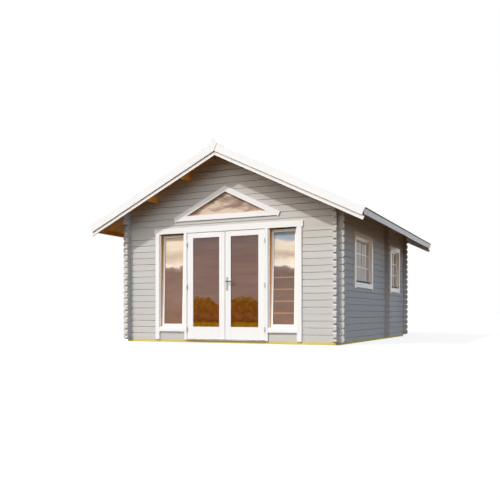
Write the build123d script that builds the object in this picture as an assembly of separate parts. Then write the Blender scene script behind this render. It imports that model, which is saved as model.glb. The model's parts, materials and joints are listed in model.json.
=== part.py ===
from build123d import *
import math
import os

os.makedirs("parts", exist_ok=True)

# Frame: X to the right seen from the front, Y to the back, Z up, millimetres.
# The origin lies on the ground in the middle of the house. The front wall faces -Y.

# Log walls
log_pitch = 114.0
log_thickness = 58.0
groove_depth = 6.0
log_overhang = 100.0
end_chamfer = 26.0
corbel_overhang = 200.0
corbel_courses = 2
house_width = 4077.0
house_depth = 5010.0
partition_setback = 3170.0

# Ground frame and floor
base_height = 45.0
base_width = 58.0
floor_thickness = 20.0
joist_width = 45.0
joist_count = 9

# Roof
roof_pitch = 26.0
soffit_ridge = 3350.0
deck_thickness = 28.0
cover_thickness = 8.0
cap_width = 130.0
gable_overhang = 420.0
eave_reach = 2580.0
cover_drip = 10.0
verge_rib = 20.0
eave_board_height = 102.0
board_thickness = 20.0
upper_board_width = 131.0
upper_board_past_eave = 12.0
lower_board_past = 42.0
lower_board_show = 60.0
board_stand = 10.6
board_joint = 3.0
horn_height = 82.0
horn_run = 100.0
horn_tip_run = 30.0

# Purlins
purlin_width = 58.0
purlin_depth = 150.0
upper_purlin_face = 684.0
lower_purlin_face = 1373.0
ridge_purlin_depth = 155.0

# Front opening, its posts and trims
opening_top = 1938.0
door_opening_half = 760.0
post_width = 52.0
side_light_edge = 1338.0
side_frame_width = 24.0
sill_level = 210.0
trim_thickness = 20.0
outer_trim_edge = 1417.0
outer_trim_width = 83.0
header_bottom = 1904.0
header_height = 98.0
header_ear = 25.0
sill_trim_top = 215.0
sill_trim_height = 68.0
side_light_setback = 30.0
side_sash_width = 50.0
side_sash_top = 1892.0
side_sash_tilt = 1.8

# Doors
leaf_thickness = 42.0
leaf_proud = 10.0
leaf_gap = 10.0
hinge_gap = 6.0
head_gap = 5.0
leaf_bottom = 18.0
leaf_top = 1899.0
meeting_stile = 108.0
hinge_stile = 120.0
bottom_rail = 218.0
top_rail = 93.0
stop_gap = 5.0
stop_width = 15.0
glass_thickness = 20.0
glass_rebate = 12.0
glass_clearance = 0.3
threshold_height = 10.0
threshold_proud = 30.0
knuckle_radius = 8.0
knuckle_length = 40.0
knuckle_gap = 0.5
knuckle_clear = 1.0
hinge_plate = 3.0
hinge_plate_reach = 12.0
hinge_levels = (200.0, 950.0, 1700.0)
handle_level = 1024.0
handle_inset = 37.0
handle_plate_width = 40.0
handle_plate_below = 158.0
handle_plate_above = 76.0
handle_plate_thickness = 4.0
spindle_radius = 7.0
spindle_clearance = 0.3
spindle_hole_clearance = 2.0
lever_length = 120.0
lever_height = 18.0
lever_depth = 10.0
lever_chamfer = 3.0
lever_stand = 45.0

# Window frames
lining_thickness = 20.0
casement_width = 43.0
pane_thickness = 8.0

# Gable window
gable_glass_half = 770.0
gable_glass_sill = 2207.0
gable_glass_peak = 2590.0
gable_frame_width = 30.0
gable_trim_height = 90.0
gable_trim_reach = 225.0

# Windows in the side walls
window_width = 1110.0
window_sill = 1000.0
window_head = 1835.0
window_trim_width = 90.0
window_trim_foot = 20.0
front_window_setback = 1530.0
rear_window_width = 770.0
window_setback = 22.0

# Doorway in the partition
inner_door_half = 400.0
inner_door_top = 1960.0

# Worked out from the sizes above
slope = math.radians(roof_pitch)
rise = math.tan(slope)
half_width = house_width / 2
half_depth = house_depth / 2
front_y = -half_depth
back_y = half_depth
partition_y = front_y + partition_setback
room_half = half_width - log_thickness
wall_base = base_height
verge_y = half_depth + gable_overhang
deck_y = verge_y - 2 * board_thickness
deck_reach = eave_reach - board_thickness
floor_top = base_height + floor_thickness
big = 20000.0
tolerance = 0.001


def soffit(x):
    """Height of the roof boards' underside at a distance x from the middle."""
    return soffit_ridge - abs(x) * rise


def along_normal(offset):
    """Vertical distance that a thickness measured square to the roof takes up."""
    return offset / math.cos(slope)


def block(x0, x1, y0, y1, z0, z1):
    """Solid box between two corners."""
    return Pos((x0 + x1) / 2, (y0 + y1) / 2, (z0 + z1) / 2) * Box(abs(x1 - x0), abs(y1 - y0), abs(z1 - z0))


def closed_outline(points):
    """Face inside a list of corners, of which neighbours may coincide."""
    corners = [points[0]]
    for point in points[1:]:
        if math.dist(point, corners[-1]) > tolerance:
            corners.append(point)
    if math.dist(corners[0], corners[-1]) < tolerance:
        corners.pop()
    return make_face(Polyline(*corners, close=True))


def prism_y(points, y0, y1):
    """Outline of (x, z) points, extruded from y0 to y1."""
    outline = Plane.XZ * closed_outline(points)
    return Pos(0, y1, 0) * extrude(outline, y1 - y0, dir=(0, -1, 0))


def prism_x(points, x0, x1):
    """Outline of (y, z) points, extruded from x0 to x1."""
    outline = Plane.YZ * closed_outline(points)
    return Pos(x0, 0, 0) * extrude(outline, x1 - x0, dir=(1, 0, 0))


def mirrored_x(shape):
    return mirror(shape, Plane.YZ)


def mirrored_y(shape):
    return mirror(shape, Plane.XZ)


def joints_between(first, low, high):
    """Levels of the joints between logs, from the first one up, inside low to high."""
    margin = end_chamfer / 2
    count = int((high - first) / log_pitch) + 1
    levels = [first + n * log_pitch for n in range(count)]
    return [level for level in levels if low + margin < level < high - margin]


def log_section(joints, low, high, outer, inner):
    """Outline of a stack of logs seen from its end, with a V-groove at each joint of the outer face."""
    depth = math.copysign(groove_depth, inner - outer)
    points = [(inner, low), (outer, low)]
    for level in joints:
        points += [(outer, level - groove_depth), (outer + depth, level), (outer, level + groove_depth)]
    return points + [(outer, high), (inner, high)]


def end_steps(joints, low, high, reach, side):
    """Edge of a stack of logs seen from the front: every log end has its corners cut off."""
    levels = [low] + joints + [high]
    points = []
    for bottom, top in zip(levels, levels[1:]):
        cut = min(end_chamfer, (top - bottom) / 3)
        points += [(side * (reach - cut), bottom), (side * reach, bottom + cut)]
        points += [(side * reach, top - cut), (side * (reach - cut), top)]
    return points


def front_joints(low, high):
    return joints_between(wall_base + log_pitch, low, high)


def side_joints(low, high):
    return joints_between(wall_base + log_pitch / 2, low, high)


def cross_log_spans(crossing_top):
    """Heights in which the logs of the front, back and partition fill their crossings."""
    spans = []
    level = wall_base + log_pitch / 4
    while level + log_pitch / 2 < crossing_top:
        spans.append((level, level + log_pitch / 2))
        level += log_pitch
    return spans


crossing_spans = cross_log_spans(soffit(half_width))


def side_log_spans(low, high):
    """Heights in which the side walls' logs fill the same crossings."""
    edges = [wall_base] + [z for span in crossing_spans for z in span] + [soffit_ridge]
    spans = list(zip(edges[0::2], edges[1::2]))
    return [(max(a, low), min(b, high)) for a, b in spans if b > low and a < high]


def under_roof(low):
    """Everything below the roof boards and above a level, as one long prism."""
    reach = 2 * half_width
    eave = max(soffit(reach), low - 1)
    points = [(-reach, low), (reach, low), (reach, eave), (0, soffit_ridge), (-reach, eave)]
    if eave < low:
        span = (soffit_ridge - low) / rise
        points = [(-span, low), (span, low), (0, soffit_ridge)]
    return prism_y(points, -big / 2, big / 2)


def purlin_outline(face):
    """Outline of a right-hand purlin; face is its side towards the ridge."""
    outer = face + purlin_width
    bottom = soffit(face) - purlin_depth
    return [(face, bottom), (outer, bottom), (outer, soffit(outer)), (face, soffit(face))]


def ridge_outline():
    half = purlin_width / 2
    bottom = soffit_ridge - ridge_purlin_depth
    return [(-half, bottom), (half, bottom), (half, soffit(half)), (0, soffit_ridge), (-half, soffit(half))]


def purlin_seats(y0, y1):
    """Slots that the purlins fill in a gable."""
    seats = [prism_y(ridge_outline(), y0 - 1, y1 + 1)]
    for face in (upper_purlin_face, lower_purlin_face):
        seat = prism_y(purlin_outline(face), y0 - 1, y1 + 1)
        seats += [seat, mirrored_x(seat)]
    return seats


def cross_wall(outer, inner, low, high, x0, x1):
    """Logs that run left to right, notched over the side walls, from one level to another."""
    y0, y1 = min(outer, inner), max(outer, inner)
    reach = half_width + log_overhang
    joints = front_joints(low, high)
    left = end_steps(joints, low, high, reach, -1) if x0 is None else [(x0, low), (x0, high)]
    right = end_steps(joints, low, high, reach, 1) if x1 is None else [(x1, low), (x1, high)]
    elevation = prism_y(left + right[::-1], y0, y1)
    section = prism_x(log_section(joints, low, high, outer, inner), -big / 4, big / 4)
    wall = elevation & section
    cuts = []
    for a, b in side_log_spans(low - 1, high + 1):
        for side, end in ((-1, x0), (1, x1)):
            if end is None:
                near, far = side * room_half, side * half_width
                cuts.append(block(min(near, far), max(near, far), y0 - 1, y1 + 1, a, b))
    return wall - cuts


def gable(outer, inner, low):
    """Full-width logs from a level up to the roof, with the purlins let in."""
    wall = cross_wall(outer, inner, low, soffit_ridge, None, None) & under_roof(low)
    return wall - purlin_seats(min(outer, inner), max(outer, inner))


def inner_gable(y0, y1):
    """The partition's logs, planed flush on both faces, with their ends cut like the others."""
    reach = half_width + log_overhang
    joints = front_joints(wall_base, soffit_ridge)
    edge = end_steps(joints, wall_base, soffit_ridge, reach, 1)
    wall = prism_y([(-x, z) for x, z in edge] + edge[::-1], y0, y1) & under_roof(wall_base)
    cuts = []
    for a, b in side_log_spans(wall_base - 1, soffit_ridge + 1):
        cut = block(room_half, half_width, y0 - 1, y1 + 1, a, b)
        cuts += [cut, mirrored_x(cut)]
    return wall - (cuts + purlin_seats(y0, y1))


def side_wall():
    """Right-hand wall from front to back, its top logs reaching further out under the verge."""
    low = wall_base
    high = soffit(room_half)
    joints = side_joints(low, high)
    corbel = joints[-corbel_courses]
    lower = [level for level in joints if level < corbel]
    upper = [level for level in joints if level > corbel]
    short = end_steps(lower, low, corbel, half_depth + log_overhang, 1)
    long = end_steps(upper, corbel, high, half_depth + corbel_overhang, 1)
    right = short + long
    left = [(-y, z) for y, z in right]
    elevation = prism_x(left + right[::-1], room_half, half_width)
    section = prism_y(log_section(joints, low, high, half_width, room_half), -big / 4, big / 4)
    wall = elevation & section & under_roof(low)
    cuts = []
    for y0 in (front_y, partition_y, back_y - log_thickness):
        for a, b in crossing_spans:
            cuts.append(block(room_half - 1, half_width + 1, y0, y0 + log_thickness, a, b))
    for y0, width in side_windows():
        half = width / 2
        cuts.append(block(room_half - 1, half_width + 1, y0 - half, y0 + half, window_low, window_high))
    return wall - cuts


window_low = wall_base + window_sill
window_high = wall_base + window_head


def side_windows():
    """Middle and width of each window opening in a side wall; the rear one is in the middle of its room."""
    return [(front_y + front_window_setback, window_width), ((partition_y + back_y) / 2, rear_window_width)]


def gable_triangle(grow):
    """Triangle of the gable window's glass, grown square to its sides."""
    half = gable_glass_half
    bottom = wall_base + gable_glass_sill
    peak = wall_base + gable_glass_peak
    pitch = math.atan2(peak - bottom, half)
    top = peak + grow / math.cos(pitch)
    low = bottom - grow
    reach = (top - low) / math.tan(pitch)
    return [(-reach, low), (reach, low), (0, top)]


def base_frame():
    """Treated beams under the walls and the partition, cut flush with the corners."""
    ring = block(-half_width, half_width, front_y, back_y, 0, base_height)
    rooms = []
    for y0, y1 in rooms_y():
        rooms.append(block(-room_edge, room_edge, y0, y1, -1, base_height + 1))
    return ring - rooms


room_edge = half_width - base_width


def rooms_y():
    """Front and back limits of the two spaces between the ground beams."""
    front_room = (front_y + base_width, partition_y)
    rear_room = (partition_y + base_width, back_y - base_width)
    return [front_room, rear_room]


def floor_joists():
    """Joists that carry the floor, lying between the side beams."""
    joists = []
    for y0, y1 in rooms_y():
        share = max(2, round(joist_count * (y1 - y0) / house_depth))
        step = (y1 - y0 - 2 * joist_width) / (share + 1)
        for n in range(share):
            y = y0 + joist_width + step * (n + 1)
            joists.append(block(-room_edge, room_edge, y - joist_width / 2, y + joist_width / 2, 0, base_height))
    return Compound(children=joists)


def floors():
    """Floor boards of the two rooms, lying on joists and beams between the walls."""
    slabs = []
    for y0, y1 in ((front_y + log_thickness, partition_y), (partition_y + log_thickness, back_y - log_thickness)):
        slabs.append(block(-room_half, room_half, y0, y1, base_height, floor_top))
    return Compound(children=slabs)


def front_side_walls():
    """Logs of the front between a corner and the side light."""
    low, high = wall_base, wall_base + opening_top
    return cross_wall(front_y, front_y + log_thickness, low, high, side_light_edge, None)


def front_sills():
    """Logs below both side lights, between post and corner walls."""
    low, high = wall_base, wall_base + sill_level
    joints = front_joints(low, high)
    section = log_section(joints, low, high, front_y, front_y + log_thickness)
    right = prism_x(section, door_opening_half + post_width, side_light_edge)
    return Compound(children=[right, mirrored_x(right)])


def front_gable():
    wall = gable(front_y, front_y + log_thickness, wall_base + opening_top)
    return wall - prism_y(gable_triangle(gable_frame_width), front_y - 1, front_y + log_thickness + 1)


def partition():
    """Inner log wall with a plain doorway."""
    wall = inner_gable(partition_y, partition_y + log_thickness)
    doorway = block(-inner_door_half, inner_door_half, partition_y - 1, partition_y + log_thickness + 1,
                    wall_base - 1, wall_base + inner_door_top)
    return wall - doorway


def roof_plane(y):
    """Plane square to the right-hand slope, through the ridge line of the soffit."""
    return Plane(origin=(0, y, soffit_ridge), x_dir=(0, 1, 0), z_dir=(math.cos(slope), 0, -math.sin(slope)))


def slope_strip(points, start, reach):
    """Outline of (y, height over the soffit) points, run down the slope from start to reach."""
    outline = roof_plane(0) * make_face(Polyline(*points, close=True))
    length = (reach - start) / math.cos(slope) + start_run(start)
    strip = extrude(outline, length, dir=(math.cos(slope), 0, -math.sin(slope)))
    shift = start - start_run(start) * math.cos(slope)
    return Pos(shift, 0, -shift * rise) * strip


def start_run(start):
    """Extra length that lets a strip at the ridge be mitred there."""
    return 200.0 if start == 0 else 0.0


def right_of_ridge(shape):
    return shape - block(-big, 0, -big, big, -big, big)


def below_reach(shape, reach):
    return shape - block(reach, big, -big, big, -big, big)


def roof_deck():
    points = [(-deck_y, 0), (deck_y, 0), (deck_y, deck_thickness), (-deck_y, deck_thickness)]
    deck = right_of_ridge(slope_strip(points, 0, deck_reach + deck_thickness))
    return below_reach(deck, deck_reach)


board_top = deck_thickness + board_stand


def roof_cover():
    """Roof covering of one slope, turned up behind the gable boards as high as their tops."""
    top = deck_thickness + cover_thickness
    rib = deck_y - verge_rib
    outline = [(-deck_y, deck_thickness), (deck_y, deck_thickness), (deck_y, board_top), (rib, board_top),
               (rib, top), (-rib, top), (-rib, board_top), (-deck_y, board_top)]
    edge = eave_reach + cover_drip - deck_thickness * math.sin(slope)
    return right_of_ridge(slope_strip(outline, 0, edge))


def ridge_cap():
    """Strip of covering bent over the ridge, between the turned-up verges."""
    under = soffit_ridge + along_normal(deck_thickness + cover_thickness)
    top = under + along_normal(cover_thickness)
    half = cap_width * math.cos(slope)
    points = [(0, under), (half, under - half * rise), (half, top - half * rise), (0, top),
              (-half, top - half * rise), (-half, under - half * rise)]
    end = deck_y - verge_rib
    return prism_y(points, -end, end)


def purlins():
    """Ridge purlin and four lower ones, running through all three gables."""
    beams = [prism_y(ridge_outline(), -deck_y, deck_y)]
    for face in (upper_purlin_face, lower_purlin_face):
        beam = prism_y(purlin_outline(face), -deck_y, deck_y)
        beams += [beam, mirrored_x(beam)]
    return Compound(children=beams)


def eave_board():
    """Right-hand board across the ends of the roof boards."""
    top_outer = soffit(eave_reach) + along_normal(deck_thickness)
    top_inner = soffit(deck_reach) + along_normal(deck_thickness)
    bottom = top_outer - eave_board_height
    points = [(deck_reach, bottom), (eave_reach, bottom), (eave_reach, top_outer), (deck_reach, top_inner)]
    return prism_y(points, -deck_y, deck_y)


upper_board_low = board_top - upper_board_width
lower_board_low = upper_board_low - lower_board_show
board_top_ridge = soffit_ridge + along_normal(board_top)
upper_board_foot = soffit_ridge + along_normal(upper_board_low)
lower_board_foot = soffit_ridge + along_normal(lower_board_low)
upper_board_length = (eave_reach + upper_board_past_eave - board_top * math.sin(slope)) / math.cos(slope)
lower_board_length = upper_board_length + lower_board_past


def on_slope(along, height):
    """Point at a distance down the right-hand slope and a height square above the roof boards' underside."""
    x = along * math.cos(slope) + height * math.sin(slope)
    return (x, soffit_ridge - along * math.sin(slope) + height * math.cos(slope))


def lower_boards():
    """Back layer of the front gable boards, mitred at the ridge and cut square at the eaves."""
    half_joint = board_joint / 2
    points = [(half_joint, lower_board_foot - half_joint * rise), on_slope(lower_board_length, lower_board_low),
              on_slope(lower_board_length, upper_board_low), on_slope(upper_board_length, upper_board_low),
              on_slope(upper_board_length, board_top), (half_joint, board_top_ridge - half_joint * rise)]
    right = prism_y(points, -(verge_y - board_thickness), -deck_y)
    return Compound(children=[right, mirrored_x(right)])


def upper_boards():
    """Front layer of the gable boards: a plain right-hand one and a left-hand one with a horn."""
    y0, y1 = -verge_y, -(verge_y - board_thickness)
    end = on_slope(upper_board_length, board_top)
    foot = on_slope(upper_board_length, upper_board_low)
    start = (0, upper_board_foot)
    start_top = (upper_board_width * math.sin(slope), upper_board_foot + upper_board_width * math.cos(slope))
    right = prism_y([start, foot, end, start_top], y0, y1)
    joint_foot = (start[0] - board_joint, start[1])
    joint_top = (start_top[0] - board_joint, start_top[1])
    tip = (-horn_tip_run, board_top_ridge + horn_height)
    root = (-horn_run, board_top_ridge - horn_run * rise)
    curve_end = (-horn_run / 2, root[1] + horn_height * 0.55)
    left_lines = [Line((-foot[0], foot[1]), joint_foot), Line(joint_foot, joint_top), Line(joint_top, tip),
                  Spline(tip, curve_end, root, tangents=[(-0.25, -1), (-math.cos(slope), -math.sin(slope))]),
                  Line(root, (-end[0], end[1])), Line((-end[0], end[1]), (-foot[0], foot[1]))]
    outline = Plane.XZ * make_face(left_lines)
    left = Pos(0, y1, 0) * extrude(outline, y1 - y0, dir=(0, -1, 0))
    return Compound(children=[left, right])


def trim_front(thickness):
    return front_y - thickness


def jamb_trims():
    """Outer vertical boards beside the side lights."""
    inner = outer_trim_edge - outer_trim_width
    right = block(inner, outer_trim_edge, trim_front(trim_thickness), front_y, wall_base, wall_base + header_bottom)
    return Compound(children=[right, mirrored_x(right)])


def header_trim():
    """Board over the doors and side lights, a little wider than the trims below it."""
    edge = outer_trim_edge + header_ear
    low = wall_base + header_bottom
    return block(-edge, edge, trim_front(trim_thickness), front_y, low, low + header_height)


def posts():
    """Posts between doors and side lights, through the wall's thickness and proud of it."""
    outer = door_opening_half + post_width
    right = block(door_opening_half, outer, trim_front(0), front_y + log_thickness, wall_base, wall_base + opening_top)
    face = block(door_opening_half, outer, trim_front(trim_thickness), front_y, wall_base, wall_base + header_bottom)
    right = right + face
    return Compound(children=[right, mirrored_x(right)])


head_low = wall_base + leaf_top + head_gap


def door_head():
    """Frame head over the door leaves, between the posts."""
    high = wall_base + opening_top
    return block(-door_opening_half, door_opening_half, front_y, front_y + log_thickness, head_low, high)


def door_stops():
    """Strips on the posts and under the head, which the leaves close against."""
    y0, y1 = leaf_back + stop_gap, front_y + log_thickness
    inner = door_opening_half - stop_width
    right = block(inner, door_opening_half, y0, y1, wall_base + threshold_height, head_low - stop_width)
    top = block(-door_opening_half, door_opening_half, y0, y1, head_low - stop_width, head_low)
    return Compound(children=[right, mirrored_x(right), top])


def sill_trims():
    """Boards below the side lights."""
    top = wall_base + sill_trim_top
    right = block(door_opening_half + post_width, outer_trim_edge - outer_trim_width,
                  trim_front(trim_thickness), front_y, top - sill_trim_height, top)
    return Compound(children=[right, mirrored_x(right)])


def ring(x0, x1, z0, z1, y0, y1, width):
    """Rectangular frame lying in the XZ plane."""
    return block(x0, x1, y0, y1, z0, z1) - block(x0 + width, x1 - width, y0 - 1, y1 + 1, z0 + width, z1 - width)


def side_light_box():
    """Left, right, bottom and top of the right-hand side light's opening in the wall."""
    return (door_opening_half + post_width, side_light_edge, wall_base + sill_level, wall_base + opening_top)


def side_light_linings():
    """Natural wood linings of the side lights' openings."""
    x0, x1, z0, z1 = side_light_box()
    right = ring(x0, x1, z0, z1, front_y, front_y + log_thickness, side_frame_width)
    return Compound(children=[right, mirrored_x(right)])


def side_light_parts():
    """Casement and glass of the right-hand side light, still upright."""
    x0, x1, z0, z1 = side_light_box()
    y0 = front_y + side_light_setback
    y1 = front_y + log_thickness
    box = (x0 + side_frame_width, x1 - side_frame_width, z0 + side_frame_width, wall_base + side_sash_top)
    frame = ring(*box, y0, y1, side_sash_width)
    middle = (y0 + y1) / 2
    hold = side_sash_width - glass_rebate
    pane = (box[0] + hold, box[1] - hold, middle - pane_thickness / 2, middle + pane_thickness / 2,
            box[2] + hold, box[3] - hold)
    return frame, pane


def tilted(shape):
    """Leaned into the room about the inner edge of the lining's sill."""
    y = front_y + log_thickness
    z = wall_base + sill_level + side_frame_width
    return Pos(0, y, z) * Rot(-side_sash_tilt, 0, 0) * Pos(0, -y, -z) * shape


def grown(box, by):
    """Box corners moved outwards on every side."""
    x0, x1, y0, y1, z0, z1 = box
    return (x0 - by, x1 + by, y0 - by, y1 + by, z0 - by, z1 + by)


def side_light_casements():
    """Casements of the side lights, which stand tilted open."""
    frame, pane = side_light_parts()
    right = tilted(frame - block(*grown(pane, glass_clearance)))
    return Compound(children=[right, mirrored_x(right)])


def side_light_glass():
    frame, pane = side_light_parts()
    right = tilted(block(*pane))
    return Compound(children=[right, mirrored_x(right)])


def gable_frame():
    """Fixed frame of the gable window, in the logs' thickness."""
    y0, y1 = front_y, front_y + log_thickness
    frame = prism_y(gable_triangle(gable_frame_width), y0, y1)
    frame = frame - prism_y(gable_triangle(0), y0 - 1, y1 + 1)
    middle = (y0 + y1) / 2
    hold = pane_thickness / 2 + glass_clearance
    return frame - prism_y(gable_triangle(glass_rebate + glass_clearance), middle - hold, middle + hold)


def gable_glass():
    middle = front_y + log_thickness / 2
    half = pane_thickness / 2
    return prism_y(gable_triangle(glass_rebate), middle - half, middle + half)


def gable_trim():
    """Three boards round the gable window; the sloping ones are cut square at their ends."""
    half = gable_glass_half
    bottom = wall_base + gable_glass_sill
    peak = wall_base + gable_glass_peak
    pitch = math.atan2(peak - bottom, half)
    top = peak + gable_trim_height / math.cos(pitch)
    reach = half + gable_trim_reach
    foot = bottom - gable_trim_height
    inner = (reach, peak - reach * math.tan(pitch))
    width = gable_trim_height
    corner = (reach + width * math.sin(pitch), inner[1] + width * math.cos(pitch))
    right = [(0, foot), (reach - gable_trim_height * math.tan(pitch / 2), foot), inner, corner, (0, top)]
    left = [(-x, z) for x, z in right[1:-1]]
    outline = right + left[::-1]
    trim = prism_y(outline, trim_front(trim_thickness), front_y)
    return trim - prism_y(gable_triangle(0), trim_front(trim_thickness) - 1, front_y + 1)


def window_ring(y, width, low, high, x0, x1, border):
    """Rectangular frame lying in the YZ plane."""
    half = width / 2
    outer = block(x0, x1, y - half, y + half, low, high)
    return outer - block(x0 - 1, x1 + 1, y - half + border, y + half - border, low + border, high - border)


def window_trims():
    """Boards round the right-hand wall's windows, the upright ones with short feet."""
    trims = []
    border = window_trim_width
    lap = lining_thickness
    for y, width in side_windows():
        outer = width + 2 * (border - lap)
        low, high = window_low - border + lap, window_high + border - lap
        trim = window_ring(y, outer, low, high, half_width, half_width + trim_thickness, border)
        for side in (-1, 1):
            a, b = y + side * outer / 2, y + side * (outer / 2 - border)
            foot = block(half_width, half_width + trim_thickness, min(a, b), max(a, b), low - window_trim_foot, low)
            trim = trim + foot
        trims.append(trim)
    return Compound(children=trims)


def window_linings():
    linings = []
    for y, width in side_windows():
        linings.append(window_ring(y, width, window_low, window_high, room_half, half_width, lining_thickness))
    return Compound(children=linings)


def window_parts(y, width):
    """Casement and glass of one window in the right-hand wall."""
    x1 = half_width - window_setback
    x0 = room_half
    inset = lining_thickness
    frame = window_ring(y, width - 2 * inset, window_low + inset, window_high - inset, x0, x1, casement_width)
    middle = (x0 + x1) / 2
    half = pane_thickness / 2
    hold = inset + casement_width - glass_rebate
    pane = (middle - half, middle + half, y - width / 2 + hold, y + width / 2 - hold,
            window_low + hold, window_high - hold)
    return frame, pane


def window_casements():
    frames = []
    for y, width in side_windows():
        frame, pane = window_parts(y, width)
        frames.append(frame - block(*grown(pane, glass_clearance)))
    return Compound(children=frames)


def window_glass():
    panes = []
    for y, width in side_windows():
        frame, pane = window_parts(y, width)
        panes.append(block(*pane))
    return Compound(children=panes)


def threshold():
    """Metal sill under the door leaves."""
    return block(-door_opening_half, door_opening_half, front_y - threshold_proud, front_y + log_thickness,
                 wall_base, wall_base + threshold_height)


leaf_front = front_y - leaf_proud
leaf_back = leaf_front + leaf_thickness
leaf_low = wall_base + leaf_bottom
leaf_high = wall_base + leaf_top
hinge_x = door_opening_half - hinge_gap / 2
hinge_y = front_y - trim_thickness - knuckle_clear - knuckle_radius
handle_x = leaf_gap / 2 + handle_inset
handle_z = wall_base + handle_level


def leaf_pane():
    """Corners of the right-hand leaf's glass, held in its groove."""
    x0 = leaf_gap / 2 + meeting_stile - glass_rebate
    x1 = door_opening_half - hinge_gap - hinge_stile + glass_rebate
    middle = (leaf_front + leaf_back) / 2
    half = glass_thickness / 2
    return (x0, x1, middle - half, middle + half,
            leaf_low + bottom_rail - glass_rebate, leaf_high - top_rail + glass_rebate)


def door_leaf():
    """Right-hand leaf: two stiles and two rails round a grooved opening."""
    x0, x1 = leaf_gap / 2, door_opening_half - hinge_gap
    leaf = block(x0, x1, leaf_front, leaf_back, leaf_low, leaf_high)
    light = block(x0 + meeting_stile, x1 - hinge_stile, leaf_front - 1, leaf_back + 1,
                  leaf_low + bottom_rail, leaf_high - top_rail)
    return leaf - light - block(*grown(leaf_pane(), glass_clearance))


def handle_hole():
    """Hole for the handle's spindle through the leaf."""
    hole = Cylinder(spindle_radius + spindle_hole_clearance, leaf_thickness + 2)
    return Pos(handle_x, (leaf_front + leaf_back) / 2, handle_z) * Rot(90, 0, 0) * hole


def knuckle(z, upper):
    """One half of a hinge barrel; the upper half belongs to the leaf."""
    low = z + knuckle_gap / 2 if upper else z - knuckle_gap / 2 - knuckle_length
    barrel = Cylinder(knuckle_radius, knuckle_length, align=(Align.CENTER, Align.CENTER, Align.MIN))
    return Pos(hinge_x, hinge_y, low) * barrel


def fixed_hinges():
    """Lower barrel halves with their plates on the right-hand post."""
    halves = []
    face = trim_front(trim_thickness)
    for level in hinge_levels:
        z = wall_base + level
        low = z - knuckle_gap / 2 - knuckle_length
        plate = block(hinge_x, hinge_x + hinge_plate_reach, face - hinge_plate, face, low, low + knuckle_length)
        halves.append(knuckle(z, False) + plate)
    return halves


def leaf_hinges():
    """Upper barrel halves, each with a web back to the leaf's face and a plate on it."""
    halves = []
    for level in hinge_levels:
        z = wall_base + level
        low = z + knuckle_gap / 2
        leaf_edge = door_opening_half - hinge_gap
        web = block(leaf_edge - 2 * hinge_plate, leaf_edge, hinge_y, leaf_front, low, low + knuckle_length)
        plate = block(leaf_edge - hinge_plate_reach, leaf_edge, leaf_front - hinge_plate, leaf_front,
                      low, low + knuckle_length)
        halves.append(knuckle(z, True) + web + plate)
    return halves


def handle_plates():
    """Long plates on both faces of the right-hand leaf, bored for the spindle."""
    plates = []
    low, high = handle_z - handle_plate_below, handle_z + handle_plate_above
    x0, x1 = handle_x - handle_plate_width / 2, handle_x + handle_plate_width / 2
    bore = Pos(handle_x, leaf_front, handle_z) * Rot(90, 0, 0) * Cylinder(spindle_radius + spindle_clearance, 400)
    for y0, y1 in ((leaf_front - handle_plate_thickness, leaf_front), (leaf_back, leaf_back + handle_plate_thickness)):
        plates.append(block(x0, x1, y0, y1, low, high) - bore)
    return Compound(children=plates)


def handle_lever():
    """Spindle with a lever on each face of the leaf, pointing away from the meeting edge."""
    front = leaf_front - handle_plate_thickness - lever_stand
    back = leaf_back + handle_plate_thickness + lever_stand
    spindle = Cylinder(spindle_radius, back - front)
    handle = Pos(handle_x, (front + back) / 2, handle_z) * Rot(90, 0, 0) * spindle
    half = lever_height / 2
    for y0, y1 in ((front, front + lever_depth), (back - lever_depth, back)):
        arm = block(handle_x - half, handle_x + lever_length, y0, y1, handle_z - half, handle_z + half)
        handle = handle + chamfer(arm.edges().filter_by(Axis.Y), lever_chamfer)
    return handle


def write(name, shape):
    """Write one sub-part to its STEP file."""
    shape.label = name
    export_step(shape, f"parts/{name}.step")


def write_walls():
    right = front_side_walls()
    write("front_wall_right", right)
    write("front_wall_left", mirrored_x(right))
    write("front_sill_logs", front_sills())
    write("front_gable", front_gable())
    write("partition", partition())
    write("back_wall", gable(back_y, back_y - log_thickness, wall_base))
    side = side_wall()
    write("right_wall", side)
    write("left_wall", mirrored_x(side))


def write_roof():
    deck = roof_deck()
    cover = roof_cover()
    board = eave_board()
    write("roof_deck_right", deck)
    write("roof_deck_left", mirrored_x(deck))
    write("roof_cover_right", cover)
    write("roof_cover_left", mirrored_x(cover))
    write("ridge_cap", ridge_cap())
    write("purlins", purlins())
    write("eave_board_right", board)
    write("eave_board_left", mirrored_x(board))
    for name, boards in (("lower", lower_boards()), ("upper", upper_boards())):
        write(f"front_gable_boards_{name}", boards)
        write(f"back_gable_boards_{name}", mirrored_y(boards))


def write_ground():
    write("base_frame", base_frame())
    write("floor_joists", floor_joists())
    write("floor_boards", floors())


def write_front():
    write("jamb_trims", jamb_trims())
    write("header_trim", header_trim())
    write("door_posts", posts())
    write("door_head", door_head())
    write("door_stops", door_stops())
    write("sill_trims", sill_trims())
    write("side_light_linings", side_light_linings())
    write("side_light_casements", side_light_casements())
    write("side_light_glass", side_light_glass())
    write("gable_window_frame", gable_frame())
    write("gable_window_glass", gable_glass())
    write("gable_window_trim", gable_trim())
    write("threshold", threshold())


def write_side_windows():
    groups = (("trims", window_trims()), ("linings", window_linings()),
              ("casements", window_casements()), ("glass", window_glass()))
    for name, shapes in groups:
        write(f"right_window_{name}", shapes)
        write(f"left_window_{name}", mirrored_x(shapes))


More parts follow.
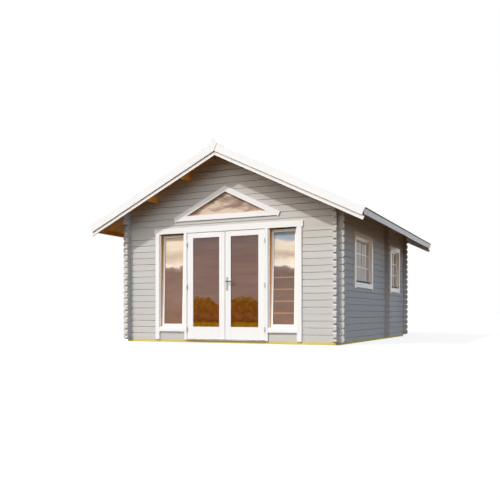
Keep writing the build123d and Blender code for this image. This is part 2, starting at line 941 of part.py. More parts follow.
def write_doors():
    leaf = door_leaf()
    pane = block(*leaf_pane())
    write("door_right_leaf", leaf - handle_hole())
    write("door_left_leaf", mirrored_x(leaf))
    write("door_right_glass", pane)
    write("door_left_glass", mirrored_x(pane))
    moving = leaf_hinges()
    write("door_right_hinges", Compound(children=moving))
    write("door_left_hinges", Compound(children=[mirrored_x(half) for half in moving]))
    fixed = fixed_hinges()
    write("post_hinges", Compound(children=fixed + [mirrored_x(half) for half in fixed]))
    write("handle_plates", handle_plates())
    write("handle_lever", handle_lever())


write_ground()
write_walls()
write_roof()
write_front()
write_side_windows()
write_doors()
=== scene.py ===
import bmesh
import bpy
import json
import math
from mathutils import Matrix, Vector


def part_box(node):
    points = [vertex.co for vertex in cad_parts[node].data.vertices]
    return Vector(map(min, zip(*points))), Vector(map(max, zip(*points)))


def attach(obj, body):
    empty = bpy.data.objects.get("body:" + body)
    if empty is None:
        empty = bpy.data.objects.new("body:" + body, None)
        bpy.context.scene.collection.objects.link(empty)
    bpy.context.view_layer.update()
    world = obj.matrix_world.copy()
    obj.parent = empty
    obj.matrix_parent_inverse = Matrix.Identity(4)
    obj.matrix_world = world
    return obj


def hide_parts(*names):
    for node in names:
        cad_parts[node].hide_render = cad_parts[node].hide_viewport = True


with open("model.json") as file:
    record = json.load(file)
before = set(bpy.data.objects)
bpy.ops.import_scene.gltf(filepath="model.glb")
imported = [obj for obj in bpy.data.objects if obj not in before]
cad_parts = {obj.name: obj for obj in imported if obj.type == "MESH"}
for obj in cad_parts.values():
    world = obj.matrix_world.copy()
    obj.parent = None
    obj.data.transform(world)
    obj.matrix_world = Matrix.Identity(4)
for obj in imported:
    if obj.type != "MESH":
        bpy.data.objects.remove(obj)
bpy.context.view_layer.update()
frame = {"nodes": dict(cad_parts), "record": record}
nodes = frame["nodes"]
record = frame["record"]
body_of_node = {node: body for body, names in record["behaviour"]["bodies"].items() for node in names}

# Sizes in metres, in the frame of the CAD: X right, Y back, Z up, the ground at Z 0
log_pitch = 0.114
log_gap = 0.004
log_courses = 40
wall_base = 0.045

# Limits of X and Y inside which walls, eave boards and linings are unpainted, and one past them all
inside_x = 1.982
inside_y = 2.448
eave_face = 2.561
lining_face = 2.503
anywhere = 3.0

# Rounded edges, from the finest to the widest
fine_edge = 0.001
paint_edge = 0.0015
soft_edge = 0.002
deck_edge = 0.003

# Boards and the gaps between them
floor_board = 0.096
roof_board = 0.096
board_gap = 0.001
frame_joint = 0.0006
ridge_strip_gap = 0.002

# Roof: the boards' underside at the ridge, and the covering's top square above that underside
roof_pitch = math.radians(26.0)
soffit_ridge = 3.350
cover_top = 0.036

# Gable boards, square above the roof boards' underside, and their joint at the ridge
upper_board_top = 0.0386
upper_board_width = 0.131
lower_board_show = 0.060
upper_board_low = upper_board_top - upper_board_width
lower_board_low = upper_board_low - lower_board_show
ridge_joint_x = -0.0015
joint_line_half = 0.005

# Shingles, with the margins they keep to the edges of a slope
shingle_course = 0.145
shingle_width = 0.333
shingle_slot = 0.005
shingle_foot = 0.0024
shingle_head = 0.001
shingle_narrowest = 0.02
eave_margin = 0.005
gable_margin = 0.022
ridge_margin = 0.05

# Door leaves, casements and panes
meeting_stile = 0.108
hinge_stile = 0.120
glass_rebate = 0.012
rebate_inset = Vector((glass_rebate, 0, glass_rebate))
seal_width = 0.004
seal_depth = 0.005
bar_width = 0.022
bar_depth = 0.012
drip_height = 0.040
drip_depth = 0.006
sash_tilt = math.radians(1.8)
sash_foot = Vector((0, -2.447, 0.279))
sash_pane_depth = 0.014
sash_pane_half = 0.004

# Lowest and highest Z, or for the side windows Y, of the painted reflections in the panes
door_pane_span = (0.281, 1.851)
side_light_span = (0.323, 1.893)
gable_pane_span = (2.252, 2.635)
side_windows_span = (-1.467, 1.907)

# Tree crowns in the painted reflection in the doors' panes: start and step in metres, foot and top as
# shares of the picture's height, and the height of a wave from 0 to 1 at which its crown reaches the top
crown_start = -0.05
crown_step = 0.82
crown_low = 0.19
crown_high = 0.325
crown_full = 0.85

# Screws and keyholes, with the levels of a keyhole above the plate's lower end
screw_radius = 0.004
screw_thick = 0.001
screw_inset = 0.012
keyhole_level = 0.075
keyhole_radius = 0.005
keyhole_proud = 0.0003
slot_half = 0.0022
slot_foot = 0.058
slot_head = 0.074

# Meshes: distance at which points are joined, and angles between faces up to which an edge is dropped, left
# unrounded or shaded smooth
weld_distance = 1e-5
flat_angle = math.radians(1)
soft_angle = math.radians(30)
lever_angle = math.radians(40)
smooth_angle = math.radians(35)
disc_sides = 16

axes = {"X": Vector((1, 0, 0)), "Y": Vector((0, 1, 0)), "Z": Vector((0, 0, 1))}


# Shader helpers
def new_material(name, roughness, specular=0.4, metallic=0.0):
    material = bpy.data.materials.new(name)
    material.use_nodes = True
    shader = material.node_tree.nodes["Principled BSDF"]
    shader.inputs["Roughness"].default_value = roughness
    shader.inputs["Specular IOR Level"].default_value = specular
    shader.inputs["Metallic"].default_value = metallic
    return material, material.node_tree, shader


def wire(tree, kind, inputs=None, **settings):
    """A new node with some of its settings and inputs filled in or linked."""
    node = tree.nodes.new(kind)
    for key, value in settings.items():
        setattr(node, key, value)
    for key, value in (inputs or {}).items():
        if isinstance(value, bpy.types.NodeSocket):
            tree.links.new(value, node.inputs[key])
        else:
            node.inputs[key].default_value = value
    return node


def ranged(tree, value, low, high, start=0.0, stop=1.0):
    inputs = {"Value": value, "From Min": start, "From Max": stop, "To Min": low, "To Max": high}
    return wire(tree, "ShaderNodeMapRange", inputs).outputs["Result"]


def varied(tree, value, low, high):
    """Noise, most of which lies between 0.3 and 0.7, spread over a range."""
    return ranged(tree, value, low, high, 0.3, 0.7)


def maths(tree, operation, *values):
    return wire(tree, "ShaderNodeMath", dict(enumerate(values)), operation=operation).outputs[0]


def times(tree, a, b):
    return maths(tree, "MULTIPLY", a, b)


def plus(tree, a, b):
    return maths(tree, "ADD", a, b)


def object_coords(tree):
    return wire(tree, "ShaderNodeTexCoord").outputs["Object"]


def object_axes(tree):
    """Object coordinates, with one output for each axis."""
    return wire(tree, "ShaderNodeSeparateXYZ", {"Vector": object_coords(tree)}).outputs


def place(tree, stretch, offset=(0.0, 0.0, 0.0)):
    """Object coordinates, stretched along each axis."""
    inputs = {"Vector": object_coords(tree), "Scale": stretch, "Location": offset}
    return wire(tree, "ShaderNodeMapping", inputs).outputs[0]


def noise(tree, vector, scale, detail=4.0, distortion=0.0):
    inputs = {"Vector": vector, "Scale": scale, "Detail": detail, "Distortion": distortion}
    return wire(tree, "ShaderNodeTexNoise", inputs).outputs["Fac"]


def ramp(tree, value, stops):
    """Colour ramp through (position, colour) stops."""
    node = wire(tree, "ShaderNodeValToRGB", {"Fac": value})
    elements = node.color_ramp.elements
    while len(elements) < len(stops):
        elements.new(0.5)
    for element, (position, colour) in zip(elements, stops):
        element.position = position
        element.color = (*colour, 1.0)
    return node.outputs["Color"]


def scaled(tree, colour, factor):
    inputs = {0: colour, "Scale": factor}
    return wire(tree, "ShaderNodeVectorMath", inputs, operation="SCALE").outputs["Vector"]


def bump(tree, shader, height, depth):
    node = wire(tree, "ShaderNodeBump", {"Height": height, "Distance": depth, "Strength": 0.8})
    tree.links.new(node.outputs["Normal"], shader.inputs["Normal"])


def stretch_along(grain, fine, coarse):
    return tuple(coarse if axis == grain else fine for axis in "XYZ")


def island_tint(tree, spread):
    """A factor near 1 that differs from board to board."""
    island = wire(tree, "ShaderNodeNewGeometry").outputs["Random Per Island"]
    return ranged(tree, island, 1 - spread, 1 + spread)


def within(tree, limit_x, limit_y):
    """1 where a point lies nearer to the middle than both limits, 0 elsewhere."""
    parts = object_axes(tree)
    tests = []
    for axis, limit in (("X", limit_x), ("Y", limit_y)):
        size = maths(tree, "ABSOLUTE", parts[axis])
        tests.append(maths(tree, "LESS_THAN", size, limit))
    return times(tree, *tests)


def board_edges(tree, foot):
    """1 at a gable board's lower edge and at the joint at the ridge, 0 elsewhere.

    Foot is the height square above the roof boards' underside, under which the board is bare.
    """
    parts = object_axes(tree)
    sine, cosine = math.sin(roof_pitch), math.cos(roof_pitch)
    out = maths(tree, "ABSOLUTE", parts["X"])
    up = plus(tree, parts["Z"], -soffit_ridge)
    level = plus(tree, times(tree, out, sine), times(tree, up, cosine))
    under = maths(tree, "LESS_THAN", level, foot)
    above_foot = plus(tree, up, -upper_board_low / cosine)
    from_joint = plus(tree, parts["X"], -ridge_joint_x)
    beside = plus(tree, times(tree, from_joint, cosine), times(tree, above_foot, -sine))
    away = maths(tree, "ABSOLUTE", beside)
    near = maths(tree, "LESS_THAN", away, joint_line_half)
    over = maths(tree, "GREATER_THAN", above_foot, 0.0)
    return maths(tree, "MAXIMUM", under, times(tree, near, over))


def blended(tree, share, first, second):
    """A mix of two colours, of which each is a socket or a value."""
    node = wire(tree, "ShaderNodeMix", data_type="RGBA")
    for key, value in (("Factor", share), ("A", first), ("B", second)):
        socket = [item for item in node.inputs if item.name == key and item.enabled][0]
        if isinstance(value, bpy.types.NodeSocket):
            tree.links.new(value, socket)
        else:
            socket.default_value = value if key == "Factor" else (*value, 1.0)
    return [item for item in node.outputs if item.enabled][0]


def colour_with(tree, shader, colour):
    tree.links.new(colour, shader.inputs["Base Color"])


# Materials
def painted(name, colour, grain, finish, bare=None, coat=0.0, foot=None):
    """Paint over wood whose grain runs along one axis, with one of the finishes below.

    Bare gives the limits of X and Y inside which it is unpainted, and foot the height square above the
    roof boards' underside, below which it is.
    """
    tint, streak, depth, roughness = finish
    material, tree, shader = new_material(name, roughness, 0.15)
    shader.inputs["Coat Weight"].default_value = coat
    shader.inputs["Coat Roughness"].default_value = 0.2
    fine = noise(tree, place(tree, stretch_along(grain, 60.0, 1.5)), 1.0, 5.0)
    broad = noise(tree, place(tree, stretch_along(grain, 5.0, 0.7)), 1.0, 3.0)
    if bare:
        wood = blended(tree, fine, pine_light, pine_dark)
        colour = blended(tree, within(tree, *bare), colour, wood)
    if foot is not None:
        colour = blended(tree, board_edges(tree, foot), colour, end_wood)
    streaks = ranged(tree, fine, 1 - streak, 1 + streak, 0.25, 0.75)
    patches = varied(tree, broad, 1 - streak / 2, 1 + streak / 2)
    factor = times(tree, times(tree, streaks, patches), island_tint(tree, tint))
    colour_with(tree, shader, scaled(tree, colour, factor))
    bump(tree, shader, fine, depth)
    return material


def timber(name, light, dark, grain):
    """Bare softwood with rings, streaks and a few knots."""
    material, tree, shader = new_material(name, 0.6, 0.15)
    fine = noise(tree, place(tree, stretch_along(grain, 90.0, 2.0)), 1.0, 6.0)
    rings = noise(tree, place(tree, stretch_along(grain, 18.0, 0.8)), 1.0, 2.0, 1.5)
    mix = plus(tree, times(tree, rings, 0.65), times(tree, fine, 0.35))
    middle = tuple((a + b) / 2 for a, b in zip(light, dark))
    colour = ramp(tree, mix, [(0.32, light), (0.5, middle), (0.68, dark)])
    spots = {"Vector": place(tree, stretch_along(grain, 7.0, 1.7)), "Scale": 1.0}
    knots = wire(tree, "ShaderNodeTexVoronoi", spots).outputs["Distance"]
    factor = times(tree, island_tint(tree, 0.10), ranged(tree, knots, 0.45, 1.0, 0.03, 0.10))
    colour_with(tree, shader, scaled(tree, colour, factor))
    bump(tree, shader, fine, 0.0005)
    return material


def felt(name, colour):
    """Dark mineral covering with fine granules."""
    material, tree, shader = new_material(name, 0.9, 0.25)
    grains = noise(tree, place(tree, (1.0, 1.0, 1.0)), 900.0, 2.0)
    broad = noise(tree, place(tree, (1.0, 1.0, 1.0)), 3.0, 3.0)
    factor = times(tree, varied(tree, grains, 0.55, 1.45), varied(tree, broad, 0.85, 1.15))
    factor = times(tree, factor, island_tint(tree, 0.18))
    colour_with(tree, shader, scaled(tree, colour, factor))
    bump(tree, shader, grains, 0.001)
    return material


def metal(name, colour, roughness, brushed="Z"):
    """Metal with fine lines that run along one axis."""
    material, tree, shader = new_material(name, roughness, 0.5, 1.0)
    lines = noise(tree, place(tree, stretch_along(brushed, 900.0, 12.0)), 1.0, 3.0)
    colour_with(tree, shader, scaled(tree, colour, varied(tree, lines, 0.92, 1.08)))
    rough = varied(tree, lines, roughness - 0.08, roughness + 0.08)
    tree.links.new(rough, shader.inputs["Roughness"])
    bump(tree, shader, lines, 0.00005)
    return material


def plastic(name, colour, roughness, specular=0.4):
    material, tree, shader = new_material(name, roughness, specular)
    fine = noise(tree, place(tree, (1.0, 1.0, 1.0)), 400.0, 2.0)
    colour_with(tree, shader, scaled(tree, colour, varied(tree, fine, 0.93, 1.07)))
    bump(tree, shader, fine, 0.0001)
    return material


def reflection_pane(name, clear, specular=0.05):
    """A pane's material, with the object's coordinates that its painted reflection is drawn over."""
    material, tree, shader = new_material(name, 0.08, specular)
    shader.inputs["Alpha"].default_value = 1 - clear
    return material, tree, shader, object_axes(tree)


def below(tree, value, edge, softness):
    """1 where a value lies under an edge, 0 over it, with a soft change between."""
    return ranged(tree, maths(tree, "SUBTRACT", edge, value), 0.0, 1.0, -softness, softness)


def streaked(tree, colour, stretch, amount):
    """A colour made lighter and darker by stretched noise."""
    cloud = noise(tree, place(tree, stretch, (3.0, 0.0, 1.0)), 1.0, 4.0, 0.4)
    return scaled(tree, colour, ranged(tree, cloud, 1 - amount, 1 + amount, 0.32, 0.68))


def door_reflection(name):
    """Painted reflection of a dusky sky over a row of trees, a red-brown field and a strip of grass."""
    material, tree, shader, parts = reflection_pane(name, 0.03, 0.03)
    level = ranged(tree, parts["Z"], 0.0, 1.0, *door_pane_span)
    sky = streaked(tree, ramp(tree, level, dusk_sky), (1.2, 1.0, 9.0), 0.10)
    land = streaked(tree, ramp(tree, level, dusk_land), (14.0, 1.0, 18.0), 0.30)
    turn = times(tree, plus(tree, parts["X"], -crown_start), math.pi / crown_step)
    domes = maths(tree, "ABSOLUTE", maths(tree, "SINE", turn))
    crowns = ranged(tree, domes, crown_low, crown_high, 0.0, crown_full)
    leaves = varied(tree, noise(tree, place(tree, (22.0, 1.0, 22.0)), 1.0), -0.02, 0.02)
    trees = below(tree, level, plus(tree, crowns, leaves), 0.010)
    colour_with(tree, shader, blended(tree, trees, sky, land))
    return material


def ladder(tree, level, first, step, half, top):
    """Thin level lines at equal steps, up to a level."""
    count = maths(tree, "DIVIDE", plus(tree, level, step / 2 - first), step)
    share = maths(tree, "FRACT", count)
    away = maths(tree, "ABSOLUTE", plus(tree, share, -0.5))
    return times(tree, below(tree, away, half / step, 0.02), below(tree, level, top, 0.01))


def side_light_reflection(name):
    """Painted reflection of clouds over a painted view of a brown room, on the right with blue sky and the
    painted light lines of a wall inside.
    """
    material, tree, shader, parts = reflection_pane(name, 0.05)
    level = ranged(tree, parts["Z"], 0.0, 1.0, *side_light_span)
    cloud = noise(tree, place(tree, (5.0, 1.0, 6.0)), 1.0, distortion=0.5)
    rough = plus(tree, level, varied(tree, cloud, -0.022, 0.022))
    left = streaked(tree, ramp(tree, rough, left_cloud), (3.0, 1.0, 8.0), 0.08)
    right = streaked(tree, ramp(tree, rough, right_cloud), (3.0, 1.0, 8.0), 0.08)
    lines = ladder(tree, level, first=0.126, step=0.1275, half=0.005, top=0.55)
    right = blended(tree, times(tree, lines, 0.75), right, wall_line)
    on_right = maths(tree, "GREATER_THAN", parts["X"], 0.0)
    colour_with(tree, shader, blended(tree, on_right, left, right))
    return material


def gable_reflection(name):
    """Painted reflection of clouds, paler at the lower left."""
    material, tree, shader, parts = reflection_pane(name, 0.05)
    level = ranged(tree, parts["Z"], 0.0, 1.0, *gable_pane_span)
    lean = times(tree, parts["X"], 0.35)
    cloud = noise(tree, place(tree, (3.0, 1.0, 9.0), (0.6, 0.0, 0.4)), 1.0, distortion=0.5)
    ragged = varied(tree, cloud, -0.45, 0.45)
    rough = plus(tree, plus(tree, times(tree, level, 0.5), lean), ragged)
    colour_with(tree, shader, ramp(tree, rough, gable_cloud))
    return material


def window_reflection(name):
    """Painted reflection of sky in upright bands of pale cyan, slate and tan, over the brown wood seen
    through, across the side windows.
    """
    material, tree, shader, parts = reflection_pane(name, 0.05, 0.3)
    across = ranged(tree, parts["Y"], 0.0, 1.0, *side_windows_span)
    bands = streaked(tree, ramp(tree, across, reflection_bands), (1.0, 6.0, 3.0), 0.12)
    colour_with(tree, shader, bands)
    return material


# Colours of the painted reflections in the panes, and of the room and wall lines painted as seen through
# them
dusk_sky = [(0.0, (0.21, 0.135, 0.115)), (0.45, (0.215, 0.135, 0.115)), (0.75, (0.195, 0.125, 0.11)),
            (1.0, (0.165, 0.115, 0.11))]
dusk_land = [(0.0, (0.24, 0.12, 0.001)), (0.045, (0.21, 0.10, 0.001)), (0.06, (0.13, 0.035, 0.003)),
             (0.12, (0.17, 0.055, 0.012)), (0.17, (0.15, 0.045, 0.003)), (0.40, (0.19, 0.075, 0.003))]
left_cloud = [(0.0, (0.22, 0.12, 0.08)), (0.30, (0.26, 0.165, 0.13)), (0.60, (0.21, 0.135, 0.115)),
              (0.645, (0.32, 0.22, 0.19)), (0.67, (0.88, 0.80, 0.70)), (0.72, (0.70, 0.58, 0.48)),
              (0.78, (0.66, 0.53, 0.43)), (0.88, (0.82, 0.72, 0.58)), (1.0, (0.80, 0.70, 0.56))]
right_cloud = [(0.0, (0.24, 0.145, 0.11)), (0.30, (0.21, 0.14, 0.115)), (0.55, (0.17, 0.12, 0.105)),
               (0.61, (0.26, 0.19, 0.17)), (0.64, (0.86, 0.80, 0.72)), (0.71, (0.78, 0.70, 0.60)),
               (0.75, (0.56, 0.45, 0.37)), (0.80, (0.76, 0.67, 0.57)), (0.89, (0.75, 0.66, 0.57)),
               (0.92, (0.38, 0.44, 0.50)), (1.0, (0.22, 0.33, 0.45))]
gable_cloud = [(0.0, (0.66, 0.55, 0.44)), (0.2, (0.44, 0.33, 0.27)), (0.5, (0.30, 0.215, 0.18)),
               (1.0, (0.19, 0.14, 0.125))]
wall_line = (0.60, 0.32, 0.17)
cyan, brown = (0.72, 0.88, 0.92), (0.46, 0.31, 0.23)
slate, tan = (0.22, 0.23, 0.24), (0.74, 0.60, 0.48)
reflection_bands = [(0.0, cyan), (0.045, cyan), (0.06, brown), (0.14, tan), (0.152, slate), (0.20, slate),
                 (0.22, tan), (0.50, brown), (0.84, brown), (0.89, tan), (0.92, slate), (0.95, brown),
                 (1.0, tan)]

grey = (0.55, 0.545, 0.535)
white = (0.82, 0.83, 0.85)
# Painted light: a brighter white than the other trims, so that the side lights' sashes stay bright in the
# shade of their recess
sash_white_painted_light = (0.93, 0.925, 0.91)
# Painted shade: a darker, browner copy of the grey log paint, for the partition and the back wall
painted_shade_grey = (0.52, 0.47, 0.43)
# Cream paint, made brighter than the white trims as painted light, so that the side windows stay bright on
# the walls in shade
cream_with_painted_light = (0.97, 0.88, 0.76)
off_white = (0.80, 0.775, 0.745)
pine_light, pine_dark = (0.95, 0.49, 0.09), (0.78, 0.32, 0.045)
end_wood = (0.40, 0.23, 0.11)
green_light, green_dark = (0.76, 0.62, 0.18), (0.62, 0.50, 0.13)

# Difference in tint from board to board, strength of streaks, depth of grain and roughness
log_finish = (0.025, 0.05, 0.0006, 0.55)
trim_finish = (0.01, 0.02, 0.0004, 0.45)
window_finish = (0.01, 0.02, 0.0004, 0.4)
eave_finish = (0.01, 0.03, 0.0005, 0.4)

bare_inside = (inside_x, inside_y)
logs = {axis: painted(f"grey_logs_{axis.lower()}", grey, axis, log_finish, bare_inside) for axis in "XY"}
# Logs of the partition and back wall in the painted shade grey
painted_shade_logs = painted("grey_logs_shaded", painted_shade_grey, "X", log_finish, bare_inside)
whites = {axis: painted(f"white_paint_{axis.lower()}", white, axis, trim_finish) for axis in "XZ"}
# Side windows in the brightened cream, which is their cream paint and painted light as well
cream_paint = painted("cream_paint_z", cream_with_painted_light, "Z", window_finish, coat=1.0)
# Side lights' sashes in the brighter white, which is painted light
sash_paint = painted("sash_paint", sash_white_painted_light, "Z", trim_finish)
board_paint = {name: painted(f"{name}_board_paint", white, "X", trim_finish, foot=low + paint_edge)
               for name, low in (("upper", upper_board_low), ("lower", lower_board_low))}
eave_paint = painted("eave_paint", off_white, "Y", eave_finish, (eave_face, anywhere), 0.3)
lining_paint = painted("lining_paint", white, "Z", trim_finish, (anywhere, lining_face))
pine = {axis: timber(f"pine_{axis.lower()}", pine_light, pine_dark, axis) for axis in "XY"}
treated = timber("treated_x", green_light, green_dark, "X")
roofing = felt("roofing_felt", (0.075, 0.075, 0.08))
steel = metal("satin_steel", (0.42, 0.42, 0.43), 0.35)
plate_steel = metal("plate_steel", (0.27, 0.26, 0.23), 0.35)
dark_steel = plastic("dark_steel", (0.045, 0.04, 0.04), 0.35)
aluminium = metal("mill_aluminium", (0.35, 0.34, 0.34), 0.45, "X")
# Glazing seal, its dark brown partly painted shade along the edges of the panes
seal_and_shade = plastic("brown_seal", (0.14, 0.07, 0.04), 0.5)
teal = plastic("teal_drip", (0.01, 0.09, 0.11), 0.5, 0.05)
# Panes whose colour is a painted reflection
door_glass = door_reflection("door_glass")
side_glass = side_light_reflection("side_light_glass")
gable_glass = gable_reflection("gable_glass")
reflection_window_glass = window_reflection("side_window_glass")


# Mesh helpers
def welded(node):
    """A CAD node's mesh, with its facets joined into flat faces."""
    bm = bmesh.new()
    bm.from_mesh(nodes[node].data)
    bmesh.ops.remove_doubles(bm, verts=bm.verts, dist=weld_distance)
    bmesh.ops.dissolve_limit(bm, angle_limit=flat_angle, verts=bm.verts, edges=bm.edges)
    return bm


def keep_below(bm, axis, level, sign):
    """Cuts off what lies beyond a plane square to an axis, and closes the cut."""
    normal = axes[axis] * sign
    everything = bm.verts[:] + bm.edges[:] + bm.faces[:]
    cut = bmesh.ops.bisect_plane(bm, geom=everything, plane_co=axes[axis] * level, plane_no=normal,
                                 clear_outer=True)
    rim = [part for part in cut["geom_cut"] if isinstance(part, bmesh.types.BMEdge)]
    if rim:
        bmesh.ops.holes_fill(bm, edges=rim, sides=0)


def append(target, source):
    """Adds one bmesh to another and frees it."""
    mesh = bpy.data.meshes.new("part")
    source.to_mesh(mesh)
    source.free()
    target.from_mesh(mesh)
    bpy.data.meshes.remove(mesh)


def parted(whole, axis, levels, gap):
    """A mesh parted at each level along an axis, with a gap at each."""
    result = bmesh.new()
    coords = [vert.co["XYZ".index(axis)] for vert in whole.verts]
    between = [level for level in levels if min(coords) + 2 * gap < level < max(coords) - 2 * gap]
    edges = [None] + between + [None]
    for low, high in zip(edges, edges[1:]):
        part = whole.copy()
        if low is not None:
            keep_below(part, axis, low + gap / 2, -1)
        if high is not None:
            keep_below(part, axis, high - gap / 2, 1)
        append(result, part)
    whole.free()
    return result


def softened(bm, width, segments=2, limit=soft_angle):
    """Rounds every edge that is sharper than an angle."""
    edges = [edge for edge in bm.edges if len(edge.link_faces) == 2 and edge.calc_face_angle(0.0) > limit]
    bmesh.ops.bevel(bm, geom=edges, offset=width, segments=segments, profile=0.5, affect="EDGES",
                    clamp_overlap=False)
    return bm


def add_box(bm, low, high):
    low, high = Vector(low), Vector(high)
    size = Matrix.Diagonal((*(high - low), 1.0))
    bmesh.ops.create_cube(bm, size=1.0, matrix=Matrix.Translation((low + high) / 2) @ size)


def add_disc(bm, centre, radius, thickness):
    """A disc that faces along Y."""
    turn = Matrix.Rotation(math.pi / 2, 4, "X")
    bmesh.ops.create_cone(bm, cap_ends=True, segments=disc_sides, radius1=radius, radius2=radius,
                          depth=thickness, matrix=Matrix.Translation(centre) @ turn)


def boxes_of(node):
    """Lowest and highest corner of each separate solid of a CAD node."""
    bm = welded(node)
    left = set(bm.verts)
    boxes = []
    while left:
        group = [left.pop()]
        for vert in group:
            for edge in vert.link_edges:
                other = edge.other_vert(vert)
                if other in left:
                    left.remove(other)
                    group.append(other)
        low = Vector(min(v.co[n] for v in group) for n in range(3))
        high = Vector(max(v.co[n] for v in group) for n in range(3))
        boxes.append((low, high))
    bm.free()
    return sorted(boxes, key=lambda box: tuple(box[0]))


def make_piece(name, bm, material, body, smooth=False):
    bmesh.ops.recalc_face_normals(bm, faces=bm.faces)
    mesh = bpy.data.meshes.new(name)
    bm.to_mesh(mesh)
    bm.free()
    if smooth:
        mesh.shade_smooth()
        mesh.set_sharp_from_angle(angle=smooth_angle)
    mesh.materials.append(material)
    piece = bpy.data.objects.new(name, mesh)
    bpy.context.scene.collection.objects.link(piece)
    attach(piece, body)
    return piece


def dress(node, bm, material, smooth=False):
    """Makes the piece that stands for a CAD node."""
    piece = make_piece(node + "_piece", bm, material, body_of_node[node], smooth)
    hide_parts(node)


# Log walls
def log_levels(first):
    """Levels of the joints between logs, of which the first lies this far above the wall's foot."""
    return [wall_base + first + n * log_pitch for n in range(log_courses)]


def log_wall(node, material, first):
    bm = parted(welded(node), "Z", log_levels(first), log_gap)
    dress(node, softened(bm, soft_edge), material)


for node in ("front_wall_left", "front_wall_right", "front_sill_logs", "front_gable"):
    log_wall(node, logs["X"], log_pitch)
# Partition and back wall in the darker grey, which is painted shade
for node in ("partition", "back_wall"):
    log_wall(node, painted_shade_logs, log_pitch)
for node in ("left_wall", "right_wall"):
    log_wall(node, logs["Y"], log_pitch / 2)


# Boards of floor and roof
def board_levels(node, axis, width):
    """Levels of the joints between boards of equal width."""
    low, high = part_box(node)
    index = "XYZ".index(axis)
    count = int((high[index] - low[index]) / width) + 1
    return [low[index] + width * n for n in range(1, count)]


def boarded(node, across, width, material, edge):
    bm = parted(welded(node), across, board_levels(node, across, width), board_gap)
    dress(node, softened(bm, edge, 1), material)


boarded("floor_boards", "X", floor_board, pine["Y"], fine_edge)
boarded("roof_deck_left", "Y", roof_board, pine["X"], deck_edge)
boarded("roof_deck_right", "Y", roof_board, pine["X"], deck_edge)


# Plain pieces with softened edges
plain_pieces = {
    "base_frame": treated, "floor_joists": treated, "purlins": pine["Y"],
    "roof_cover_left": roofing, "roof_cover_right": roofing,
    "eave_board_left": eave_paint, "eave_board_right": eave_paint,
    "front_gable_boards_lower": board_paint["lower"], "front_gable_boards_upper": board_paint["upper"],
    "back_gable_boards_lower": board_paint["lower"], "back_gable_boards_upper": board_paint["upper"],
    "jamb_trims": whites["Z"], "header_trim": whites["X"], "door_posts": whites["Z"],
    "door_head": whites["X"], "door_stops": whites["Z"], "sill_trims": whites["X"],
    "side_light_linings": lining_paint, "gable_window_frame": pine["X"], "gable_window_trim": whites["X"],
    "threshold": aluminium, "right_window_trims": cream_paint, "left_window_trims": cream_paint,
    "right_window_linings": cream_paint, "left_window_linings": cream_paint,
    "handle_plates": plate_steel,
}
for node, material in plain_pieces.items():
    dress(node, softened(welded(node), paint_edge), material)

for node in ("post_hinges", "door_left_hinges", "door_right_hinges"):
    dress(node, welded(node), steel, smooth=True)
lever = softened(welded("handle_lever"), fine_edge, limit=lever_angle)
dress("handle_lever", lever, dark_steel, smooth=True)

panes = {"door_left_glass": door_glass, "door_right_glass": door_glass, "side_light_glass": side_glass,
         "gable_window_glass": gable_glass, "right_window_glass": reflection_window_glass,
         "left_window_glass": reflection_window_glass}
for node, material in panes.items():
    dress(node, welded(node), material)


# Frames with a joint beside each upright
def jointed(node, axis, levels, material):
    bm = parted(welded(node), axis, levels, frame_joint)
    dress(node, softened(bm, fine_edge), material)


low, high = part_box("door_left_leaf")
jointed("door_left_leaf", "X", [low.x + hinge_stile, high.x - meeting_stile], whites["Z"])
low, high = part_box("door_right_leaf")
jointed("door_right_leaf", "X", [low.x + meeting_stile, high.x - hinge_stile], whites["Z"])


def glass_edges(node, axis):
    """Levels of the frame's inner edges on both sides of each pane."""
    index = "XYZ".index(axis)
    levels = []
    for low, high in boxes_of(node):
        levels += [low[index] + glass_rebate, high[index] - glass_rebate]
    return sorted(levels)


jointed("side_light_casements", "X", glass_edges("side_light_glass", "X"), sash_paint)
for side in ("left", "right"):
    jointed(f"{side}_window_casements", "Y", glass_edges(f"{side}_window_glass", "Y"), cream_paint)


# Ridge strip in lengths
bm = parted(welded("ridge_cap"), "Y", board_levels("ridge_cap", "Y", shingle_width), ridge_strip_gap)
dress("ridge_cap", softened(bm, fine_edge, 1), roofing)


# Brown seals round the glass of doors and side lights, whose dark brown also stands in as painted shade
# along the panes' edges
def add_seals(bm, low, high, middle, half):
    """Strips round both faces of a pane in its opening; middle and half give its place in depth."""
    corners = [(low.x, low.x + seal_width, low.z, high.z), (high.x - seal_width, high.x, low.z, high.z),
               (low.x + seal_width, high.x - seal_width, low.z, low.z + seal_width),
               (low.x + seal_width, high.x - seal_width, high.z - seal_width, high.z)]
    for side in (-1, 1):
        y0, y1 = sorted((middle + side * half, middle + side * (half + seal_depth)))
        for x0, x1, z0, z1 in corners:
            add_box(bm, (x0, y0, z0), (x1, y1, z1))


def door_seals(side):
    bm = bmesh.new()
    low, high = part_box(f"door_{side}_glass")
    middle, half = (low.y + high.y) / 2, (high.y - low.y) / 2
    add_seals(bm, low + rebate_inset, high - rebate_inset, middle, half)
    make_piece(f"door_{side}_seals", bm, seal_and_shade, f"door_{side}")


def side_light_seals():
    """Seals made upright and then leaned back with the casements."""
    bm = bmesh.new()
    turn = Matrix.Rotation(-sash_tilt, 4, "X")
    lean = Matrix.Translation(sash_foot) @ turn @ Matrix.Translation(-sash_foot)
    upright = lean.inverted()
    for low, high in boxes_of("side_light_glass"):
        bottom = Vector((low.x, 0, (upright @ low).z)) + rebate_inset
        top = Vector((high.x, 0, (upright @ high).z)) - rebate_inset
        add_seals(bm, bottom, top, sash_foot.y - sash_pane_depth, sash_pane_half)
    bmesh.ops.transform(bm, matrix=lean, verts=bm.verts)
    make_piece("side_light_seals", bm, seal_and_shade, "house")


door_seals("left")
door_seals("right")
side_light_seals()


